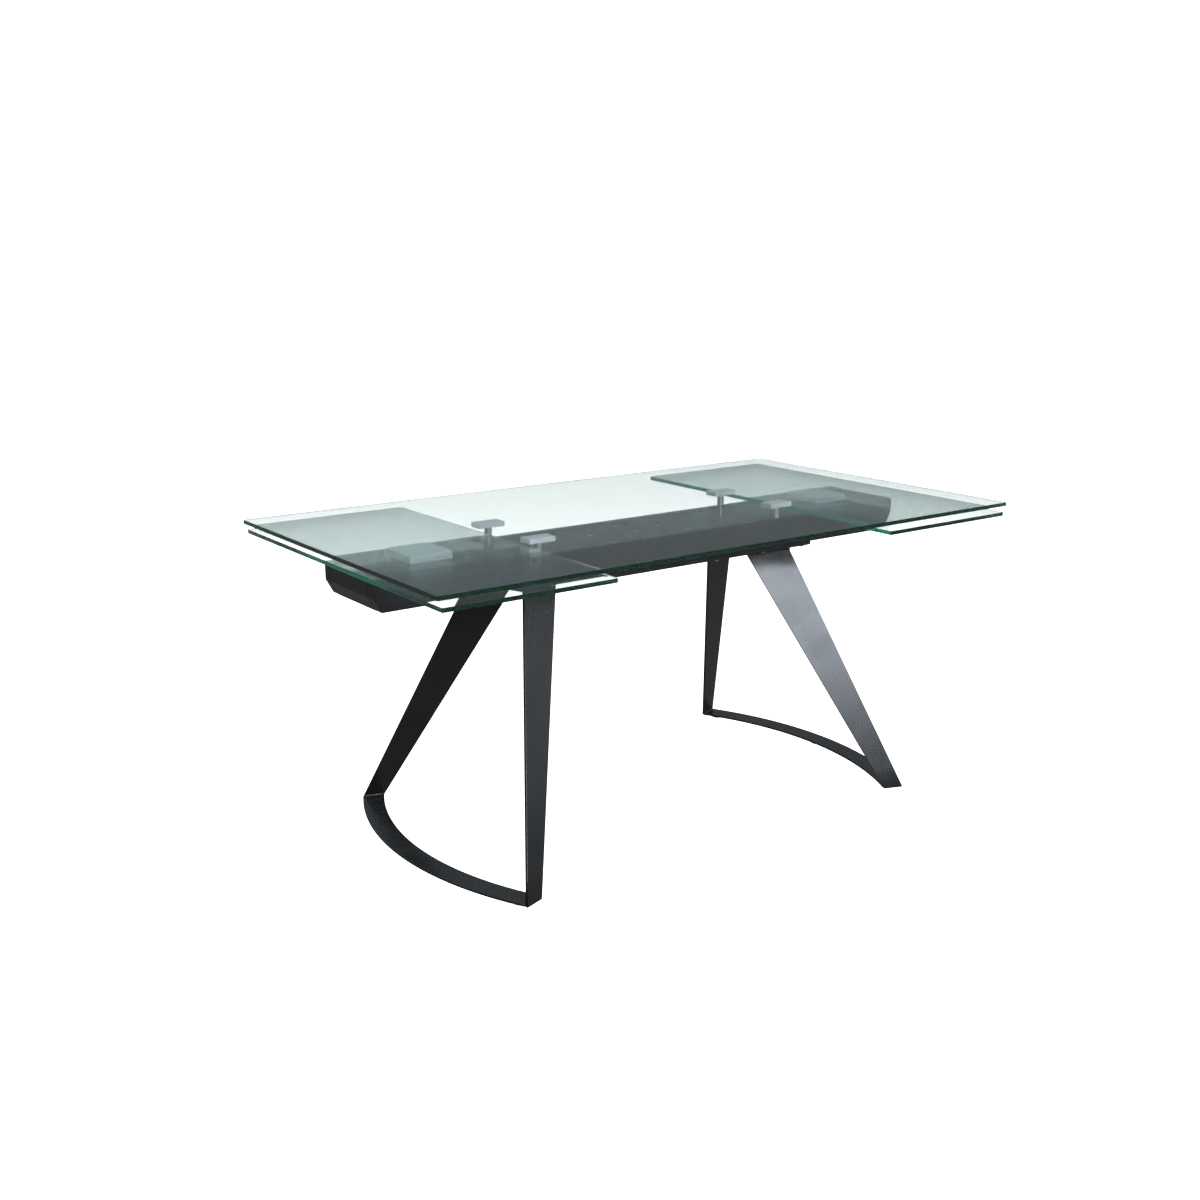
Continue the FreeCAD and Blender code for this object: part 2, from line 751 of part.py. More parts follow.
for row_name in ROWS:
    side_rail(row_name)
keep(
    slab(
        "beam_floor",
        "beam_length - 2 * bevel_depth", f"2 * {RAIL_INNER}", "floor_thickness",
        "-beam_length / 2 + bevel_depth", f"-{RAIL_INNER}", BEAM_BOTTOM,
    ),
    "beam_floor",
)
keep(
    slab(
        "centre_web",
        "web_thickness", f"2 * {RAIL_INNER}", f"{ARM_TOP} - arm_wall - {BEAM_BOTTOM} - floor_thickness",
        "-web_thickness / 2", f"-{RAIL_INNER}", f"{BEAM_BOTTOM} + floor_thickness",
    ),
    "centre_web",
)
group("stop_buffers", [centre_buffer(side_name, row_name) for side_name in SIDES for row_name in ROWS])

base_plate()
screw_group(
    "plate_bolts", plate_bolt_places("under the plate"),
    "plate_bolt_head", "plate_bolt_head_height", "plate_bolt_radius", "plate_bolt_length", PLATE_BOTTOM,
)
screw_group(
    "beam_bolts", plate_bolt_places("beside the plate"),
    "plate_bolt_head", "plate_bolt_head_height", "plate_bolt_radius", "plate_bolt_length", BEAM_BOTTOM,
)
screw_group(
    "flange_bolts", flange_bolt_places(),
    "plate_bolt_head", "plate_bolt_head_height", "plate_bolt_radius", "plate_thickness + steel_thickness", LEG_TOP,
)

for side_name, side in SIDES.items():
    glass_sheet(
        f"leaf_glass_{side_name}",
        "table_length / 2 - leaf_inset - leaf_length", "table_length / 2 - leaf_inset", LEAF_BOTTOM,
        half_turn=side < 0,
    )
    leaf_block(side_name)
    arm_cover(side_name)
    arm_frame(side_name)
    arm_end_cap(side_name)
    screw_group(
        f"block_screws_{side_name}", block_screw_places(),
        "plate_bolt_head", "plate_bolt_head_height", "block_screw_radius",
        "arm_wall + cover_thickness + block_screw_depth", f"({ARM_TOP} - arm_wall)", side,
    )
    foot_rail(side_name)
    glides(side_name)

doc.recompute()

# ---------------------------------------------------------------- check and write

for thing in doc.Objects:
    if "Invalid" in thing.State or "Error" in thing.State:
        raise RuntimeError(f"{thing.Label} could not be made: {thing.State}")

os.makedirs("parts", exist_ok=True)
for old in os.listdir("parts"):
    if old.endswith(".step"):
        os.remove(os.path.join("parts", old))
for part in parts:
    shape = part.Shape
    if shape.isNull() or not shape.isValid() or not shape.Solids:
        raise RuntimeError(f"{part.Label} has no valid solid")
    shape.exportStep(f"parts/{part.Label}.step")
    box = shape.BoundBox
    print(f"{part.Label}: {box.XLength:.1f} x {box.YLength:.1f} x {box.ZLength:.1f} mm, {len(shape.Solids)} solid(s)")
print(f"{len(parts)} parts")
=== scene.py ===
# %% [markdown]
# # An extending glass dining table
# The table has a fixed glass top, two glass leaves that slide out from under it, a black steel beam with
# sliding arms, and four splayed plate legs on two bowed foot rails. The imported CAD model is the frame:
# every size and place below is read from it, or is one of its few driving dimensions.

# %% Load the frame
import json
import math

import bpy
import numpy as np
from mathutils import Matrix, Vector


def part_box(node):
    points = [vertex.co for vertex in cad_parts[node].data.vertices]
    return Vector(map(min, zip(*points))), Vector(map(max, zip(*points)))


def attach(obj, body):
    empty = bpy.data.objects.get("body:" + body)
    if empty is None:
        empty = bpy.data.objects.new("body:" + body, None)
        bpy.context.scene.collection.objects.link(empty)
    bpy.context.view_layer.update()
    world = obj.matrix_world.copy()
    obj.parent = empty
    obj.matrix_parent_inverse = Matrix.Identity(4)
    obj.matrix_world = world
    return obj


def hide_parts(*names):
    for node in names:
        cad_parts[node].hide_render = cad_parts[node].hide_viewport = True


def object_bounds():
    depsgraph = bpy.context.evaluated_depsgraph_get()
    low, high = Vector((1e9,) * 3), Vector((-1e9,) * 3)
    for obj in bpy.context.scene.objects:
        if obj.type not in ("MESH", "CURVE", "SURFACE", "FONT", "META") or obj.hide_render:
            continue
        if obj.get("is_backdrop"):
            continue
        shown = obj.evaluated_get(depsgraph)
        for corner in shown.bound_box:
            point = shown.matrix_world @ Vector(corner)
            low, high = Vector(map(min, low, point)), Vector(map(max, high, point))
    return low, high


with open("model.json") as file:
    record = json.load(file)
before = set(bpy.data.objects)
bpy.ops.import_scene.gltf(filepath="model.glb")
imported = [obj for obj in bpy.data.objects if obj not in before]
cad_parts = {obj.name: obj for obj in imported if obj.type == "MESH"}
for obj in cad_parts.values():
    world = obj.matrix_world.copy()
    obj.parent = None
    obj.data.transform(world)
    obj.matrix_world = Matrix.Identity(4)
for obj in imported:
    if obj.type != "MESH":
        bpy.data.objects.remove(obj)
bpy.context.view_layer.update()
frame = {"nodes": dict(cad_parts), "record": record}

MM = 0.001
SIDES = {"left": -1, "right": 1}
ROWS = {"front": -1, "back": 1}

# %% [markdown]
# ## Materials
# Each finish is a small node tree on one Principled shader. Colours are the sRGB hex values that a paint
# or glass maker would quote, so one function turns them to the linear values that the renderer needs, and
# one function adds a node together with its settings and links. Patterns read Object coordinates, which
# are metres here, so a scale is one over a real spacing.


# %% Colour and node helpers
FIRST, SECOND, MIXED = 6, 7, 2  # a Mix node's two colour inputs and its colour output
NOISE_LOW, NOISE_HIGH = 0.3, 0.7  # nearly all of a noise's values lie between these


def linear(code):
    """Linear RGBA of an sRGB hex code.

    A channel c is c / 12.92 when small, and ((c + 0.055) / 1.055) ^ 2.4 otherwise.
    """
    channels = np.array([int(code[i : i + 2], 16) for i in (1, 3, 5)]) / 255
    curve = np.where(channels <= 0.04045, channels / 12.92, ((channels + 0.055) / 1.055) ** 2.4)
    return (*curve.tolist(), 1.0)


def add_node(tree, kind, links=None, **settings):
    """Adds a node, sets its sockets or properties by name, and links outputs into its inputs."""
    node = tree.nodes.new(kind)
    for name, value in settings.items():
        socket = node.inputs.get(name.replace("_", " "))
        if socket is None:
            setattr(node, name, value)
        else:
            socket.default_value = value
    for name, output in (links or {}).items():
        tree.links.new(output, node.inputs[name])
    return node


def new_material(name):
    """A material with an empty tree but for its output; returns the material, tree and output."""
    material = bpy.data.materials.new(name)
    material.use_nodes = True
    tree = material.node_tree
    tree.nodes.clear()
    return material, tree, tree.nodes.new("ShaderNodeOutputMaterial")


# %% [markdown]
# ### Float glass
# Clear soda-lime float glass is faintly green because of iron. Across its 10 mm the tint hardly shows,
# but along the sheet light travels half a metre or more, so every edge goes deep green. A tinted surface
# colour would green the faces too; a Volume Absorption shader does what the real sheet does. The faces are
# polished and the edges ground, which one material can hold: it reads which way the surface points.

# %% Float glass
ABSORBED_PER_METRE = np.array([9.5, 3.9, 4.9])
GROUND_ROUGHNESS = 0.22
EDGE_BELOW, FACE_ABOVE = 0.98, 0.999  # the upright part of the normal, on an edge and on a face


def float_glass():
    """Glass of IOR 1.52, polished on its faces and ground on its edges.

    Absorption is (1 - colour) * density per metre, so colour = 1 - absorbed / density.
    """
    material, tree, output = new_material("float_glass_10mm")
    density = float(ABSORBED_PER_METRE.max())
    tint = (*(1 - ABSORBED_PER_METRE / density).tolist(), 1.0)
    shape = add_node(tree, "ShaderNodeNewGeometry")
    facing = add_node(tree, "ShaderNodeSeparateXYZ", {"Vector": shape.outputs["True Normal"]})
    upright = add_node(tree, "ShaderNodeMath", operation="ABSOLUTE")
    tree.links.new(facing.outputs["Z"], upright.inputs[0])
    rough = add_node(
        tree, "ShaderNodeMapRange", {"Value": upright.outputs["Value"]},
        From_Min=EDGE_BELOW, From_Max=FACE_ABOVE, To_Min=GROUND_ROUGHNESS, To_Max=0.0,
    )
    surface = add_node(
        tree, "ShaderNodeBsdfPrincipled", {"Roughness": rough.outputs["Result"]},
        Base_Color=(1, 1, 1, 1), IOR=1.52, Transmission_Weight=1.0,
    )
    inside = add_node(tree, "ShaderNodeVolumeAbsorption", Color=tint, Density=density)
    tree.links.new(surface.outputs["BSDF"], output.inputs["Surface"])
    tree.links.new(inside.outputs["Volume"], output.inputs["Volume"])
    return material


glass = float_glass()
print("glass absorbs", ABSORBED_PER_METRE, "per metre")

# %% [markdown]
# ### Powder-coated steel
# Satin black powder coat is a melted polyester skin about 80 microns thick. It isn't quite black, shines
# softly, and has the faint orange peel of a powder that flowed but didn't level: ripples 2 to 3 mm apart.
# A broad second noise varies the roughness and the shade the way handling does.

# %% Powder-coated steel
PEEL_SPACING = 2.6 * MM
HANDLING_SPACING = 90 * MM
WORN_SHADE = 1.35


def powder_coat(name, colour, rough_low, rough_high, peel_height):
    """Satin coat whose roughness runs between two values on a broad noise.

    Orange peel is a bump of the given height on a second noise.
    """
    material, tree, output = new_material(name)
    place = add_node(tree, "ShaderNodeTexCoord")
    broad = add_node(
        tree, "ShaderNodeTexNoise", {"Vector": place.outputs["Object"]},
        Scale=1 / HANDLING_SPACING, Detail=5.0, Roughness=0.6,
    )
    rough = add_node(
        tree, "ShaderNodeMapRange", {"Value": broad.outputs["Fac"]},
        From_Min=NOISE_LOW, From_Max=NOISE_HIGH, To_Min=rough_low, To_Max=rough_high,
    )
    peel = add_node(
        tree, "ShaderNodeTexNoise", {"Vector": place.outputs["Object"]},
        Scale=1 / PEEL_SPACING, Detail=2.0, Roughness=0.45,
    )
    bump = add_node(
        tree, "ShaderNodeBump", {"Height": peel.outputs["Fac"]}, Strength=0.35, Distance=peel_height,
    )
    shade = add_node(tree, "ShaderNodeMix", {"Factor": broad.outputs["Fac"]}, data_type="RGBA")
    shade.inputs[FIRST].default_value = linear(colour)
    shade.inputs[SECOND].default_value = tuple(WORN_SHADE * c for c in linear(colour)[:3]) + (1.0,)
    links = {
        "Base Color": shade.outputs[MIXED],
        "Roughness": rough.outputs["Result"],
        "Normal": bump.outputs["Normal"],
    }
    surface = add_node(tree, "ShaderNodeBsdfPrincipled", links, IOR=1.5)
    tree.links.new(surface.outputs["BSDF"], output.inputs["Surface"])
    return material


coat = powder_coat("satin_black_powder_coat", "#131415", 0.20, 0.30, 0.03 * MM)
print("powder coat ripples", PEEL_SPACING, "m apart")

# %% [markdown]
# ### Bare metals
# The pads and blocks bonded to the glass are brushed aluminium, whose fine parallel scratches stretch
# highlights across the grain. They are only partly metallic, which keeps them pale in a dim room. The posts
# and bolt heads are satin chrome, a soft mirror. The slides and hidden fixings are zinc plated: bluish,
# with a soft crystalline mottle. One noise, stretched or not, makes all three.

# %% Bare metals
BRUSH_SPACING = 0.45 * MM
BRUSH_LENGTH = 40 * MM
MOTTLE_SPACING = 6 * MM


def metal(name, colour, dark, rough_low, rough_high, spacing, length, height, metallic=1.0):
    """A metal whose colour, roughness and bump follow one noise, stretched along X to the given length."""
    material, tree, output = new_material(name)
    place = add_node(tree, "ShaderNodeTexCoord")
    stretch = add_node(
        tree, "ShaderNodeMapping", {"Vector": place.outputs["Object"]},
        Scale=(1 / length, 1 / spacing, 1 / spacing),
    )
    grain = add_node(
        tree, "ShaderNodeTexNoise", {"Vector": stretch.outputs["Vector"]},
        Scale=1.0, Detail=3.0, Roughness=0.6,
    )
    shade = add_node(tree, "ShaderNodeMix", {"Factor": grain.outputs["Fac"]}, data_type="RGBA")
    shade.inputs[FIRST].default_value = linear(dark)
    shade.inputs[SECOND].default_value = linear(colour)
    rough = add_node(
        tree, "ShaderNodeMapRange", {"Value": grain.outputs["Fac"]},
        From_Min=NOISE_LOW, From_Max=NOISE_HIGH, To_Min=rough_high, To_Max=rough_low,
    )
    bump = add_node(tree, "ShaderNodeBump", {"Height": grain.outputs["Fac"]}, Strength=0.5, Distance=height)
    links = {
        "Base Color": shade.outputs[MIXED],
        "Roughness": rough.outputs["Result"],
        "Normal": bump.outputs["Normal"],
    }
    surface = add_node(tree, "ShaderNodeBsdfPrincipled", links, Metallic=metallic)
    tree.links.new(surface.outputs["BSDF"], output.inputs["Surface"])
    return material


brushed = metal(
    "brushed_aluminium", "#F1F3F4", "#C6C9CB", rough_low=0.30, rough_high=0.46,
    spacing=BRUSH_SPACING, length=BRUSH_LENGTH, height=0.03 * MM, metallic=0.45,
)
chrome = metal(
    "satin_chromed_steel", "#F0F1F2", "#DADCDE", rough_low=0.30, rough_high=0.38,
    spacing=MOTTLE_SPACING, length=MOTTLE_SPACING, height=0.002 * MM,
)
zinc = metal(
    "zinc_plated_steel", "#C4C9CE", "#9AA1A8", rough_low=0.28, rough_high=0.45,
    spacing=MOTTLE_SPACING, length=MOTTLE_SPACING, height=0.02 * MM,
)
print("brush marks", BRUSH_SPACING, "m apart and", BRUSH_LENGTH, "m long")

# %% [markdown]
# ### Rubber and moulded plastic
# The glides are moulded polyethylene and the stop buffers are rubber: both nearly black and dull, with a
# faint ripple from their moulds. The coat's own tree makes both, rougher and with another ripple height.

# %% Rubber and moulded plastic
plastic = powder_coat("moulded_polyethylene", "#1B1B1C", 0.50, 0.62, 0.08 * MM)
rubber = powder_coat("buffer_rubber", "#141414", 0.70, 0.85, 0.04 * MM)
print("moulded finishes", plastic.name, "and", rubber.name)

# %% [markdown]
# ### Finishes on the frame
# Every CAD node names a material slot in the record. Giving each its finish first means that pieces which
# need no finer shape, such as the slides inside the beam, are dressed already.

# %% Finishes on the frame
FINISHES = {
    "clear_glass": glass,
    "black_coated_steel": coat,
    "brushed_aluminium": brushed,
    "chromed_steel": chrome,
    "zinc_plated_steel": zinc,
    "black_rubber": rubber,
    "black_plastic": plastic,
}
slot_of = {row["node"]: row["material_slot"] for row in frame["record"]["subparts"]}
body_of = {node: body for body, nodes in frame["record"]["behaviour"]["bodies"].items() for node in nodes}
for node, piece in frame["nodes"].items():
    piece.data.materials.clear()
    piece.data.materials.append(FINISHES[slot_of[node]])
print(len(slot_of), "CAD nodes have their finish")

# %% [markdown]
# ## Shapes
# Nearly every visible piece is a plate: an outline with a thickness and slightly eased rims. The rims
# matter more than they seem to, because a real edge always catches a thin line of light. A Bevel modifier
# could make them, but here the surface is written down: a profile that turns in at both rims is carried
# round the outline, and two flat faces close it.


# %% Eased plates
def rim_profile(low, high, ease, steps=4):
    """Inward offsets and heights up a plate's side.

    A quarter circle of radius ease is at the bottom, and another at the top.
    """
    turn = np.linspace(0, np.pi / 2, steps + 1)
    inset = ease * (1 - np.sin(turn))
    rise = ease * (1 - np.cos(turn))
    return np.concatenate([inset, inset[::-1]]), np.concatenate([low + rise, high - rise[::-1]])


def drawn_in(outline, inset):
    """The outline moved inwards by each inset.

    A point goes along the mean of its two edges' normals, divided by the cosine of half their turn.
    """
    before = outline - np.roll(outline, 1, axis=0)
    after = np.roll(outline, -1, axis=0) - outline
    normals = []
    for edge in (before, after):
        edge = edge / np.linalg.norm(edge, axis=1, keepdims=True)
        normals.append(np.stack([-edge[:, 1], edge[:, 0]], axis=1))
    middle = normals[0] + normals[1]
    middle /= np.linalg.norm(middle, axis=1, keepdims=True)
    stretch = 1 / np.clip((middle * normals[0]).sum(axis=1), 0.5, 1)
    return outline[None] + inset[:, None, None] * (middle * stretch[:, None])[None]


def plate_surface(outline, low, high, ease):
    """Points and faces of an eased plate over a counter-clockwise outline in XY."""
    inset, height = rim_profile(low, high, ease)
    rows = drawn_in(np.asarray(outline, float), inset)
    count = rows.shape[1]
    points = np.concatenate([rows, np.broadcast_to(height[:, None, None], (*rows.shape[:2], 1))], axis=2)
    return points.reshape(-1, 3), ring_faces(len(height), count)


def ring_faces(rows, count):
    """Quads between neighbouring rings of points, and one flat face over each end ring."""
    ring = np.arange(count)
    after = np.roll(ring, -1)
    quads = []
    for row in range(rows - 1):
        here, above = row * count, (row + 1) * count
        quads.append(np.stack([here + ring, here + after, above + after, above + ring], 1))
    faces = [tuple(face) for face in np.concatenate(quads).tolist()]
    faces.append(tuple(ring[::-1].tolist()))
    faces.append(tuple(((rows - 1) * count + ring).tolist()))
    return faces


def add_piece(name, points, faces, material, stands_for, body=None):
    """Makes the object with smooth shading that keeps flat faces flat, on its body.

    Where it stands for a CAD node, it replaces it.
    """
    mesh = bpy.data.meshes.new(name)
    mesh.from_pydata(points.tolist(), [], faces)
    mesh.materials.append(material)
    mesh.shade_smooth()
    piece = bpy.data.objects.new(name, mesh)
    bpy.context.scene.collection.objects.link(piece)
    piece.modifiers.new("flat_faces_stay_flat", "WEIGHTED_NORMAL").weight = 100
    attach(piece, body or body_of[stands_for])
    if stands_for:
        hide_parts(stands_for)
    return piece


# %% [markdown]
# ### Outlines
# A plate's outline is a rectangle or a polygon with turned corners. Each corner is an arc that meets both
# edges without a kink, as a bent sheet or a broken edge does. A curve object with fillets could give them,
# but written as angles they need no clean-up.


# %% Outlines
def rounded_rectangle(low, high, radius, steps=4):
    """Counter-clockwise rectangle between two corners, each corner a quarter circle."""
    places = [(high[0], high[1]), (low[0], high[1]), (low[0], low[1]), (high[0], low[1])]
    turn = np.linspace(0, np.pi / 2, steps + 1)
    corners = []
    for number, (x, y) in enumerate(places):
        angle = turn + number * np.pi / 2
        centre_x = x + (-radius if x == high[0] else radius)
        centre_y = y + (-radius if y == high[1] else radius)
        arc = [centre_x + radius * np.cos(angle), centre_y + radius * np.sin(angle)]
        corners.append(np.stack(arc, 1))
    return np.concatenate(corners)


def rounded_corners(corners, radius, steps=4):
    """A counter-clockwise polygon with each corner turned by an arc that is tangent to both its edges."""
    corners = np.asarray(corners, float)
    rounded = []
    for before, corner, after in zip(np.roll(corners, 1, 0), corners, np.roll(corners, -1, 0)):
        to_before = (before - corner) / np.linalg.norm(before - corner)
        to_after = (after - corner) / np.linalg.norm(after - corner)
        half = math.acos(np.clip(to_before @ to_after, -1, 1)) / 2
        middle = (to_before + to_after) / np.linalg.norm(to_before + to_after)
        centre = corner + middle * radius / math.sin(half)
        start = corner + to_before * radius / math.tan(half) - centre
        end = corner + to_after * radius / math.tan(half) - centre
        first, last = math.atan2(start[1], start[0]), math.atan2(end[1], end[0])
        sweep = (last - first + math.pi) % (2 * math.pi) - math.pi
        angle = first + sweep * np.linspace(0, 1, steps + 1)
        rounded.append(centre + radius * np.stack([np.cos(angle), np.sin(angle)], 1))
    return np.concatenate(rounded)


# %% [markdown]
# ## The glass sheets
# Each sheet is cut, its corners just broken, and its edges ground flat with a narrow arris. The fixed top
# lies on four pads and each leaf on one block, all bonded, so the metal stops a hair below the glass, where
# the adhesive film is. Clear glass hardly dims the light that passes through, but a renderer treats it as
# solid to a lamp, so the sheets cast no shadow and the lamps reach what is under them.

# %% The glass sheets
GLASS_CORNER = 3 * MM
GLASS_ARRIS = 0.4 * MM
BOND_GAP = 0.2 * MM

for node in ("main_glass", "leaf_glass_left", "leaf_glass_right"):
    low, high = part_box(node)
    sheet = rounded_rectangle(low, high, GLASS_CORNER)
    piece = add_piece(f"{node}_sheet", *plate_surface(sheet, low.z, high.z, GLASS_ARRIS), glass, node)
    piece.visible_shadow = False
    print(node, [round(v, 3) for v in high - low])

# %% [markdown]
# ## Pads, blocks and posts
# The pads and blocks are sawn from bar, brushed lengthways and broken at the edges. A scaled cube with a
# Bevel would do, but the eased plate gives the same rims as everything else. Each stops short of the glass.

# %% Pads and blocks
BAR_CORNER = 1.2 * MM
BAR_EASE = 0.8 * MM

for node in frame["nodes"]:
    if node.startswith(("top_pad", "leaf_block")):
        low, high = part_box(node)
        bar = rounded_rectangle(low, high, BAR_CORNER)
        add_piece(f"{node}_bar", *plate_surface(bar, low.z, high.z - BOND_GAP, BAR_EASE), brushed, node)
        print(node, [round(v, 3) for v in high - low])

# %% [markdown]
# ### Posts
# A post is turned on a lathe: a profile spun round its axis, so the surface is radius and height along the
# profile against the turn. Only the stretch between the beam and the pad can be seen, so the stud and
# spigot at its ends are left out here, though the frame has them.


# %% Turned pieces
def turned_surface(centre, profile, count=48):
    """Spins (radius, height) pairs round an upright axis.

    x and y are the radius times the cosine and sine of the turn, and z is the height.
    """
    radius, height = np.asarray(profile, float).T
    turn = np.linspace(0, 2 * np.pi, count, endpoint=False)
    x = centre[0] + radius[:, None] * np.cos(turn)
    y = centre[1] + radius[:, None] * np.sin(turn)
    z = np.broadcast_to(height[:, None], x.shape)
    return np.stack([x, y, z], axis=2).reshape(-1, 3), ring_faces(len(radius), count)


def quarter(radius, height, ease, up, steps=4):
    """A turned rim: (radius, height) points round a quarter circle, from the flat to the side, or back."""
    turn = np.linspace(0, np.pi / 2, steps + 1)
    points = np.stack([radius - ease + ease * np.sin(turn), height + up * ease * (1 - np.cos(turn))], 1)
    return points if up > 0 else points[::-1]


# %% The posts
POST_RADIUS = 9 * MM
POST_EASE = 0.6 * MM
beam_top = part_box("side_rail_front")[1].z
for side_name in SIDES:
    for row_name in ROWS:
        node = f"top_post_{side_name}_{row_name}"
        low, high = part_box(node)
        middle = (low + high) / 2
        pad_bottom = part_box(f"top_pad_{side_name}_{row_name}")[0].z
        profile = np.concatenate([
            quarter(POST_RADIUS, beam_top, POST_EASE, 1),
            quarter(POST_RADIUS, pad_bottom, POST_EASE, -1),
        ])
        add_piece(f"{node}_turned", *turned_surface(middle, profile), chrome, node)
print("posts stand from", round(beam_top, 4), "to", round(pad_bottom, 4))

# %% [markdown]
# ## The beam
# Its two rails are folded box sections whose ends are raked below, and between them each arm has a cover
# plate on top. A rail is a plate in side view, so one plate surface is made flat and stood up.

# %% The beam
BEVEL_HEIGHT = 33 * MM
BEVEL_DEPTH = 18 * MM
FOLD_RADIUS = 2.5 * MM
SHEET_EASE = 0.9 * MM


def stand_up(points):
    """Turns a plate made in XY so that its outline lies in XZ: (x, y, z) goes to (x, -z, y)."""
    return np.stack([points[:, 0], -points[:, 2], points[:, 1]], 1)


for row_name in ROWS:
    node = f"side_rail_{row_name}"
    low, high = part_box(node)
    side_view = rounded_corners(
        [
            (low.x + BEVEL_DEPTH, low.z),
            (high.x - BEVEL_DEPTH, low.z),
            (high.x, low.z + BEVEL_HEIGHT),
            (high.x, high.z),
            (low.x, high.z),
            (low.x, low.z + BEVEL_HEIGHT),
        ],
        FOLD_RADIUS,
    )
    points, faces = plate_surface(side_view, -high.y, -low.y, FOLD_RADIUS)
    add_piece(f"{node}_section", stand_up(points), faces, coat, node)

for side_name in SIDES:
    node = f"arm_cover_{side_name}"
    low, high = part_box(node)
    cover = rounded_rectangle(low, high, SHEET_EASE)
    add_piece(f"{node}_sheet", *plate_surface(cover, low.z, high.z, SHEET_EASE), coat, node)

# %% [markdown]
# ### End caps
# Each arm ends in a strip of sheet bent once, so that it follows the rake of the rails beside it. Its
# outline in side view is the rails' own end line and the same line drawn in by the sheet's thickness.

# %% End caps
CAP_THICKNESS = 3.2 * MM
CAP_LIFT = 3.5 * MM
CAP_SIDE_GAP = 0.75 * MM
RAKE = BEVEL_DEPTH / BEVEL_HEIGHT
rail_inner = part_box("side_rail_back")[0].y

for side_name, side in SIDES.items():
    node = f"arm_end_cap_{side_name}"
    low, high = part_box(node)
    end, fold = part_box("side_rail_front")[1].x, low.z - CAP_LIFT + BEVEL_HEIGHT
    drawn = RAKE * (BEVEL_HEIGHT - CAP_LIFT)
    stretch = math.hypot(1, RAKE)
    inner_fold = fold + CAP_THICKNESS * (stretch - 1) / RAKE
    bent = [
        (end - CAP_THICKNESS * stretch - drawn, low.z),
        (end - drawn, low.z),
        (end, fold),
        (end, high.z),
        (end - CAP_THICKNESS, high.z),
        (end - CAP_THICKNESS, inner_fold),
    ]
    if side < 0:
        bent = [(-x, z) for x, z in reversed(bent)]
    half = rail_inner - CAP_SIDE_GAP
    points, faces = plate_surface(rounded_corners(bent, SHEET_EASE), -half, half, SHEET_EASE)
    add_piece(f"{node}_bent", stand_up(points), faces, coat, node)
    print(node, "ends at", round(side * end, 4))

# %% [markdown]
# ## The mounting plate
# The plate under the beam is cut as a parallelogram, so both of its ends run askew. Its box gives the two
# far corners, and one length gives the two near ones.

# %% The mounting plate
PLATE_SHORT_END = 430 * MM
low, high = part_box("base_plate")
skewed = rounded_corners(
    [(-PLATE_SHORT_END, low.y), (high.x, low.y), (PLATE_SHORT_END, high.y), (low.x, high.y)], FOLD_RADIUS
)
add_piece("base_plate_cut", *plate_surface(skewed, low.z, high.z, SHEET_EASE), coat, "base_plate")

# %% [markdown]
# ### Legs
# Each leg is a tapered plate cut level at both ends, so its surface runs straight from one rounded section
# at the foot to a wider one at the top. Taking both sections from the frame keeps the lean and the turn
# exact, where tilting a tapered box would have to find them again.

# %% Legs
LEG_EASE = 0.8 * MM
SAME_LEVEL = 0.01 * MM


def corners_at_level(node, level):
    """The four corners of a CAD leg's flat end at a level, in counter-clockwise order seen from above."""
    points = np.array([vertex.co for vertex in frame["nodes"][node].data.vertices])
    corners = np.unique(np.round(points[np.abs(points[:, 2] - level) < SAME_LEVEL], 5), axis=0)
    spread = corners[:, :2] - corners[:, :2].mean(axis=0)
    return corners[np.argsort(np.arctan2(spread[:, 1], spread[:, 0]))]


def leg_surface(node, stations=13):
    """Sections run straight from the foot's rounded outline to the top's.

    A point is foot + share * (top - foot), with the share from 0 to 1.
    """
    low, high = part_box(node)
    ends = [corners_at_level(node, level) for level in (low.z, high.z)]
    first = int(np.argmin(np.linalg.norm(ends[1][:, :2] - ends[1][0, :2], axis=1)))
    ends[1] = np.roll(ends[1], -first, axis=0)
    sections = [rounded_corners(end[:, :2], LEG_EASE) for end in ends]
    share = np.linspace(0, 1, stations)[:, None, None]
    flat = sections[0] + share * (sections[1] - sections[0])
    height = np.broadcast_to(low.z + share * (high.z - low.z), (*flat.shape[:2], 1))
    points = np.concatenate([flat, height], axis=2)
    return points.reshape(-1, 3), ring_faces(stations, flat.shape[1])


for side_name in SIDES:
    for row_name in ROWS:
        node = f"leg_{side_name}_{row_name}"
        add_piece(f"{node}_plate", *leg_surface(node), coat, node)

# %% [markdown]
# ### Foot rails
# Each foot rail is a flat bar rolled the hard way to an arc. Its outline is two arcs about one centre, cut
# where the legs cover the ends, and the inner arc is run backwards to close it.

# %% Foot rails
ARC_OFFSET = 128.6 * MM
ARC_RADIUS = 828.6 * MM
ARC_WIDTH = 55.3 * MM
ARC_END_OUTER = 386.9 * MM
ARC_END_INNER = 368.7 * MM
ARC_POINTS = 97

for side_name, side in SIDES.items():
    node = f"foot_rail_{side_name}"
    low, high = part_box(node)
    arcs = []
    for radius, end in ((ARC_RADIUS, ARC_END_OUTER), (ARC_RADIUS - ARC_WIDTH, ARC_END_INNER)):
        angle = np.linspace(-1, 1, ARC_POINTS) * math.asin(end / radius)
        x = radius * np.cos(angle) - ARC_OFFSET
        y = radius * np.sin(angle)
        arcs.append(side * np.stack([x, y], 1))
    bar = np.concatenate([arcs[0], arcs[1][::-1]])
    add_piece(f"{node}_bar", *plate_surface(bar, low.z, high.z, SHEET_EASE), coat, node)
    print(node, "from", round(low.x, 3), "to", round(high.x, 3))

# %% [markdown]
# ## Screws
# The plate and legs hang on button-head screws with hexagon sockets, chromed and driven from below. Each
# is a turned surface whose inmost rings are hexagons, so the socket needs no Boolean. Their places are read
# from the frame, one for each round head in the node.


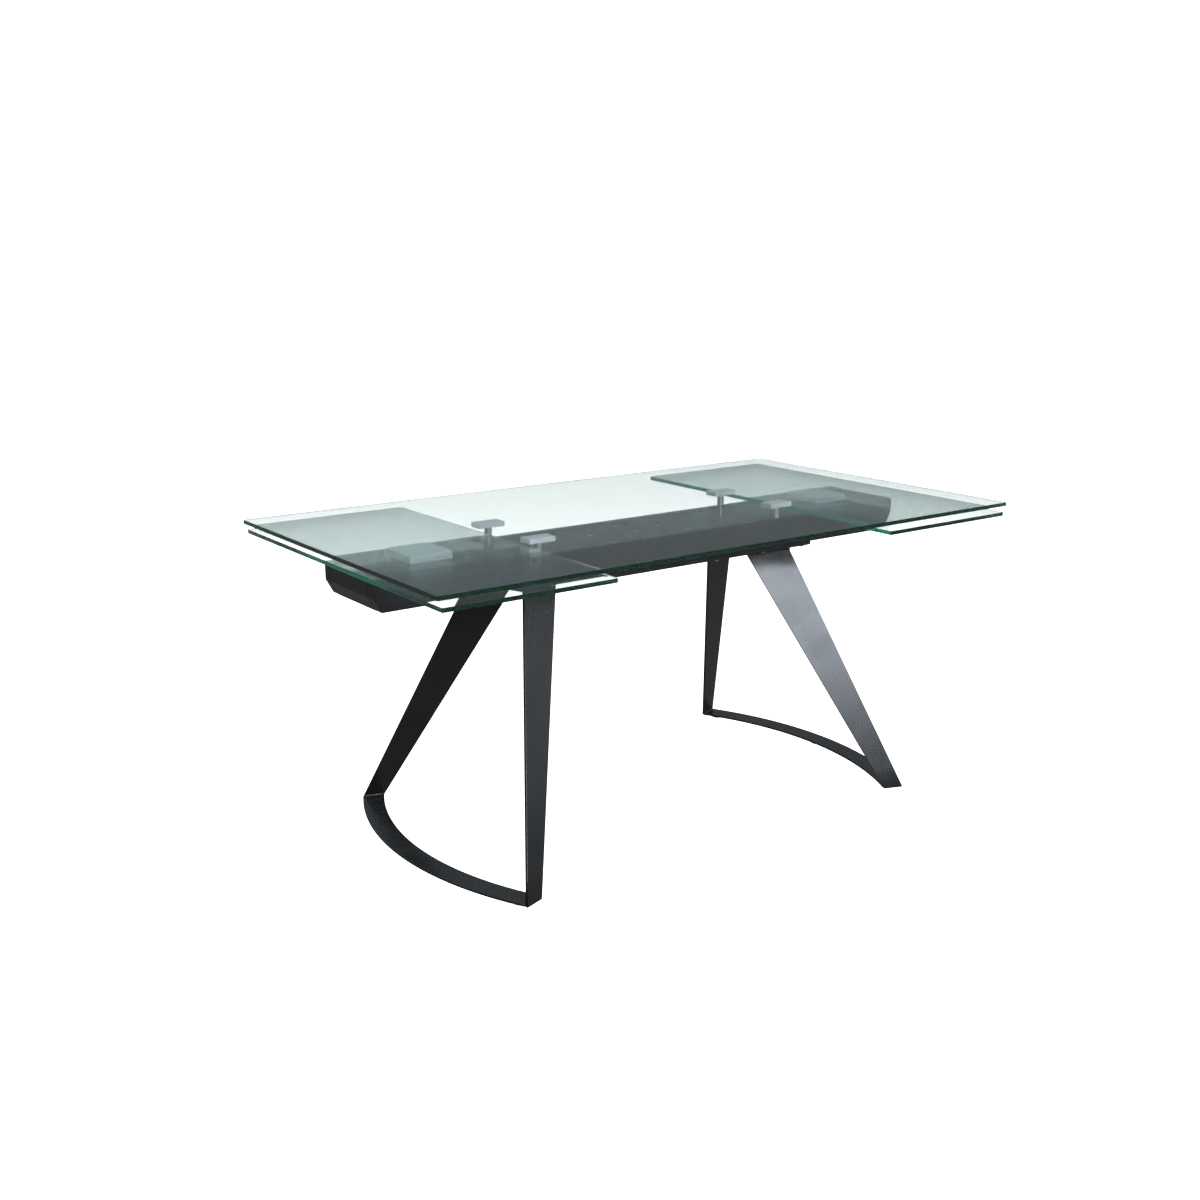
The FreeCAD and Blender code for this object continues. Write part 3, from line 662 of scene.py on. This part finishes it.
# %% Button-head screws
HEAD_RADIUS = 7 * MM
HEAD_HEIGHT = 5 * MM
HEAD_RIM = 1.4 * MM
HEAD_FLAT = 4.2 * MM
SOCKET_APOTHEM = 2.5 * MM
SOCKET_DEPTH = 2.8 * MM
SHANK_RADIUS = 4 * MM


def screw_surface(places, seat, length, count=36):
    """Rings from the socket's floor, out over the dome and up the shank, at each place.

    A hexagon's radius is its apothem / cos(turn from the middle of the nearest side).
    """
    turn = np.linspace(0, 2 * np.pi, count, endpoint=False)
    sixth = np.pi / 3
    hexagon = SOCKET_APOTHEM / np.cos((turn + sixth / 2) % sixth - sixth / 2)
    dome = np.linspace(0, np.pi / 2, 6)
    dome_radius = HEAD_FLAT + (HEAD_RADIUS - HEAD_FLAT) * np.sin(dome)
    dome_height = seat - HEAD_HEIGHT + (HEAD_HEIGHT - HEAD_RIM) * (1 - np.cos(dome))
    plain_radius = np.concatenate([dome_radius, [HEAD_RADIUS, SHANK_RADIUS, SHANK_RADIUS]])
    plain_height = np.concatenate([dome_height, [seat, seat, seat + length]])
    bottom = seat - HEAD_HEIGHT
    radius = np.concatenate([np.stack([hexagon, hexagon]), np.repeat(plain_radius[:, None], count, 1)])
    height = np.concatenate([[bottom + SOCKET_DEPTH, bottom], plain_height])
    one = np.stack(
        [radius * np.cos(turn), radius * np.sin(turn), np.repeat(height[:, None], count, 1)], 2
    ).reshape(-1, 3)
    middles = np.array([(x, y, 0) for x, y in places])
    points = (one[None] + middles[:, None]).reshape(-1, 3)
    faces = [
        tuple(vertex + number * len(one) for vertex in face)
        for number in range(len(places)) for face in ring_faces(len(height), count)
    ]
    return points, faces


def middles_of(node, seat, across):
    """Centres of a CAD node's round solids: its points at a level, gathered when closer than across."""
    points = np.array([vertex.co for vertex in frame["nodes"][node].data.vertices])
    rim = points[np.abs(points[:, 2] - seat) < SAME_LEVEL][:, :2]
    middles = []
    while len(rim):
        near = np.linalg.norm(rim - rim[0], axis=1) < across
        box = rim[near]
        middles.append(tuple((box.min(axis=0) + box.max(axis=0)) / 2))
        rim = rim[~near]
    return middles


for node in ("plate_bolts", "beam_bolts", "flange_bolts"):
    low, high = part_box(node)
    seat = low.z + HEAD_HEIGHT
    places = middles_of(node, seat, 3 * HEAD_RADIUS)
    add_piece(f"{node}_screws", *screw_surface(places, seat, high.z - seat), chrome, node)
    print(node, len(places), "screws at", round(seat, 4))

# %% [markdown]
# ### Glides
# A glide is a moulded disc with a round lower rim, so that it slides over a floor without catching. It is
# the post's kind of surface again, once for each disc in the node.

# %% Glides
GLIDE_RADIUS = 20 * MM
GLIDE_EASE = 2.5 * MM

for side_name in SIDES:
    node = f"glides_{side_name}"
    low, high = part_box(node)
    profile = np.concatenate([quarter(GLIDE_RADIUS, low.z, GLIDE_EASE, 1), [(GLIDE_RADIUS, high.z)]])
    parts = [turned_surface(middle, profile) for middle in middles_of(node, high.z, 3 * GLIDE_RADIUS)]
    step = len(parts[0][0])
    faces = [tuple(v + number * step for v in face) for number, part in enumerate(parts) for face in part[1]]
    add_piece(f"{node}_moulded", np.concatenate([part[0] for part in parts]), faces, plastic, node)
    print(node, len(parts), "glides")

# %% [markdown]
# ### Welds
# The welds that join legs to foot rails are low beads with the ripples that a torch leaves, coated with the
# rest. Each is a tube along one long edge of the leg's section, at the level of the rail's top. The frame
# has no weld, so these pieces stand for no node.

# %% Welds
BEAD_RADIUS = 2.4 * MM
BEAD_TIP = 0.05  # share of the radius that is left at the ends
RIPPLE_SPACING = 3.2 * MM
RIPPLE_HEIGHT = 0.25 * MM


def bead_surface(start, end, count=12, stations=64):
    """A round bead along a line.

    The radius follows a quarter circle at each end, with a small sine ripple along it.
    """
    start, end = np.asarray(start), np.asarray(end)
    length = np.linalg.norm(end - start)
    along = (end - start) / length
    side = np.array([-along[1], along[0], 0.0])
    share = (1 - np.cos(np.linspace(0, np.pi, stations))) / 2
    from_end = np.minimum(share, 1 - share) * length / BEAD_RADIUS
    taper = np.sqrt(np.clip(1 - (1 - from_end).clip(0) ** 2, 0, 1)).clip(BEAD_TIP, 1)
    ripple = np.sin(2 * np.pi * share * length / RIPPLE_SPACING)
    radius = BEAD_RADIUS * taper + RIPPLE_HEIGHT * taper * ripple
    turn = np.linspace(0, 2 * np.pi, count, endpoint=False)
    around = np.cos(turn)[:, None] * side + np.sin(turn)[:, None] * np.array([0, 0, 1.0])
    points = (start + share[:, None] * (end - start))[:, None] + radius[:, None, None] * around[None]
    return points.reshape(-1, 3), ring_faces(stations, count)


for side_name in SIDES:
    for row_name, row in ROWS.items():
        node = f"leg_{side_name}_{row_name}"
        rail_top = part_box(f"foot_rail_{side_name}")[1].z
        foot, top = (corners_at_level(node, level) for level in (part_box(node)[0].z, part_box(node)[1].z))
        share = (rail_top - foot[0, 2]) / (top[0, 2] - foot[0, 2])
        foot = foot + share * (top - foot)
        edges = [(a, b) for i, a in enumerate(foot) for b in [foot[(i + 1) % 4]]]
        long_edges = sorted(edges, key=lambda edge: -np.linalg.norm(edge[1] - edge[0]))[:2]
        start, end = min(long_edges, key=lambda edge: row * (edge[0][1] + edge[1][1]))
        add_piece(f"{node}_weld", *bead_surface(start, end), coat, None, "base")
        print(node, "weld", round(float(np.linalg.norm(end - start)), 4), "m long")

# %% [markdown]
# ## Stage, light and camera
# Glass furniture is shown on a sweep so brightly lit that it comes out pure white, in a room that is
# otherwise dim, because black coat and glass edges mirror whatever is round them. Light Path
# gives both at once: eyes and glass look at the white sweep, while reflections see the dim room with a
# bright ceiling. Only the floor and the world use it, so nothing of it is on the table itself.

# %% White sweep
SWEEP_WHITE = 1.96
SWEEP_IN_REFLECTIONS = 0.16
SWEEP_HALF = 60.0
BAND_TOP = 0.15
ROOM_TONE = "#EEF8FF"
ROOM = [(0.0, 0.10), (0.12, 0.17), (0.42, 0.17), (0.56, 0.6), (0.8, 1.3), (1.0, 1.7)]


def seen_as_white(tree, through_glass):
    """One for camera rays and for rays that come out of glass, and zero for others.

    A socket given as through_glass scales what is seen through the glass.
    """
    path = add_node(tree, "ShaderNodeLightPath")
    glassy = path.outputs["Is Transmission Ray"]
    if through_glass is not None:
        glassy = add_node(tree, "ShaderNodeMath", operation="MULTIPLY")
        tree.links.new(path.outputs["Is Transmission Ray"], glassy.inputs[0])
        tree.links.new(through_glass, glassy.inputs[1])
        glassy = glassy.outputs["Value"]
    either = add_node(tree, "ShaderNodeMath", operation="MAXIMUM")
    tree.links.new(path.outputs["Is Camera Ray"], either.inputs[0])
    tree.links.new(glassy, either.inputs[1])
    return either.outputs["Value"]


floor_finish, floor_tree, floor_output = new_material("white_sweep")
floor_level = add_node(
    floor_tree, "ShaderNodeMapRange", {"Value": seen_as_white(floor_tree, None)},
    To_Min=SWEEP_IN_REFLECTIONS, To_Max=SWEEP_WHITE,
)
floor_glow = add_node(floor_tree, "ShaderNodeEmission", {"Strength": floor_level.outputs["Result"]})
floor_tree.links.new(floor_glow.outputs["Emission"], floor_output.inputs["Surface"])
floor_mesh = bpy.data.meshes.new("floor")
corner = np.array([(-1, -1, 0), (1, -1, 0), (1, 1, 0), (-1, 1, 0)]) * SWEEP_HALF
floor_mesh.from_pydata(corner.tolist(), [], [(0, 1, 2, 3)])
floor_mesh.materials.append(floor_finish)
floor = bpy.data.objects.new("floor", floor_mesh)
bpy.context.scene.collection.objects.link(floor)
floor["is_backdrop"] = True
print("floor", 2 * SWEEP_HALF, "m across")

# %% [markdown]
# ### Room
# The world is one brightness against height: dim round the table, bright overhead like a ceiling bank. An
# HDR picture of a room could do it too, but a curve of six points is easier to change. Through the glass,
# the world is white up to just above the horizon, where the sweep would be.

# %% Room
world = bpy.data.worlds.new("studio")
bpy.context.scene.world = world
world.use_nodes = True
room = world.node_tree
room.nodes.clear()
direction = add_node(room, "ShaderNodeTexCoord")
height = add_node(room, "ShaderNodeSeparateXYZ", {"Vector": direction.outputs["Generated"]})
level = add_node(room, "ShaderNodeFloatCurve", {"Value": height.outputs["Z"]})
curve = level.mapping
curve.use_clip = False
points = curve.curves[0].points
while len(points) < len(ROOM):
    points.new(0.5, 0.5)
for point, place in zip(points, ROOM):
    point.location = place
    point.handle_type = "VECTOR"
curve.update()
low_sky = add_node(room, "ShaderNodeMath", operation="LESS_THAN")
room.links.new(height.outputs["Z"], low_sky.inputs[0])
low_sky.inputs[1].default_value = BAND_TOP
white = seen_as_white(room, low_sky.outputs["Value"])
radiance = add_node(room, "ShaderNodeMix", {"Factor": white, "A": level.outputs["Value"]}, B=SWEEP_WHITE)
tone = add_node(room, "ShaderNodeMix", {"Factor": white}, data_type="RGBA")
tone.inputs[FIRST].default_value = linear(ROOM_TONE)
tone.inputs[SECOND].default_value = (1, 1, 1, 1)
sky_links = {"Color": tone.outputs[MIXED], "Strength": radiance.outputs["Result"]}
sky = add_node(room, "ShaderNodeBackground", sky_links)
add_node(room, "ShaderNodeOutputWorld", {"Surface": sky.outputs["Background"]})
print("room brightness from", ROOM[0][1], "to", ROOM[-1][1])

# %% [markdown]
# ### Softboxes
# Two softboxes stand in front and a weak one at the side. Large lamps give the wide, soft highlights that
# show a satin coat, where a spot would give small hot points. The camera doesn't see them.


# %% Softboxes
def softbox(name, place, aim, width, height, power, colour):
    """A rectangular area light at a place, turned to face a point and hidden from the camera."""
    lamp = bpy.data.lights.new(name, "AREA")
    lamp.shape = "RECTANGLE"
    lamp.size, lamp.size_y = width, height
    lamp.energy = power
    lamp.color = linear(colour)[:3]
    light = bpy.data.objects.new(name, lamp)
    light.location = place
    light.rotation_euler = (Vector(aim) - Vector(place)).to_track_quat("-Z", "Y").to_euler()
    light.visible_camera = False
    bpy.context.scene.collection.objects.link(light)
    return light


softboxes = [
    softbox(
        "front_softbox", place=(0.7, -3.8, 2.0), aim=(0.4, -0.2, 0.5),
        width=2.2, height=1.7, power=135, colour="#EAF4FF",
    ),
    softbox(
        "key_softbox", place=(-1.7, -3.9, 2.3), aim=(0.0, 0.0, 0.6),
        width=2.0, height=1.5, power=150, colour="#FFFFFF",
    ),
    softbox(
        "side_softbox", place=(4.6, -1.5, 1.0), aim=(0.0, 0.0, 0.5),
        width=2.4, height=1.8, power=9, colour="#F4F8FF",
    ),
]
softboxes[-1].visible_transmission = False
print(len(softboxes), "softboxes,", sum(light.data.energy for light in softboxes), "W")

# %% [markdown]
# ### Pieces that the lamps skip
# Seen from behind, a sheet of glass mirrors a softbox as a hard white patch that hides the beam. Light
# linking takes pieces out of a lamp's reach: a collection whose entries are all excluded leaves every other
# piece lit. The three glass sheets are in it. So are the two arm covers, which are coated steel and need
# not be: taking their names off the list lights them again.

# %% Pieces that the lamps skip
SKIPPED_BY_LAMPS = (
    "main_glass_sheet",
    "leaf_glass_left_sheet",
    "leaf_glass_right_sheet",
    "arm_cover_left_sheet",
    "arm_cover_right_sheet",
)
skipped = bpy.data.collections.new("lamps_skip_these")
for name in SKIPPED_BY_LAMPS:
    skipped.objects.link(bpy.data.objects[name])
for entry in skipped.collection_objects:
    entry.light_linking.link_state = "EXCLUDE"
for light in softboxes:
    light.light_linking.receiver_collection = skipped

# %% [markdown]
# ### Camera
# The camera stands in front and to the left, above the top, with a normal lens. Light runs back and forth
# many times inside a sheet before it leaves by an edge, so the bounce limits are far above the usual: with
# few, the green edges go black.

# %% Camera
CAMERA_PLACE = (-2.1452, -2.7749, 1.4279)
CAMERA_TILT = math.radians(75.666)
CAMERA_HEADING = math.radians(-36.175)
LENS_LENGTH = 42.31
SENSOR_WIDTH = 36.0
EDGE_BOUNCES = 40

eye = bpy.data.cameras.new("camera")
eye.lens = LENS_LENGTH
eye.sensor_width = SENSOR_WIDTH
camera = bpy.data.objects.new("camera", eye)
camera.location = CAMERA_PLACE
camera.rotation_euler = (CAMERA_TILT, 0.0, CAMERA_HEADING)
bpy.context.scene.collection.objects.link(camera)
bpy.context.scene.camera = camera
bpy.context.scene.view_settings.view_transform = "Standard"
cycles = bpy.context.scene.cycles
cycles.max_bounces = EDGE_BOUNCES
cycles.glossy_bounces = EDGE_BOUNCES
cycles.transmission_bounces = EDGE_BOUNCES
print("up to", EDGE_BOUNCES, "bounces in the glass")

# %% [markdown]
# ## Finish
# The box of everything visible is measured again.

# %% Finish
low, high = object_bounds()
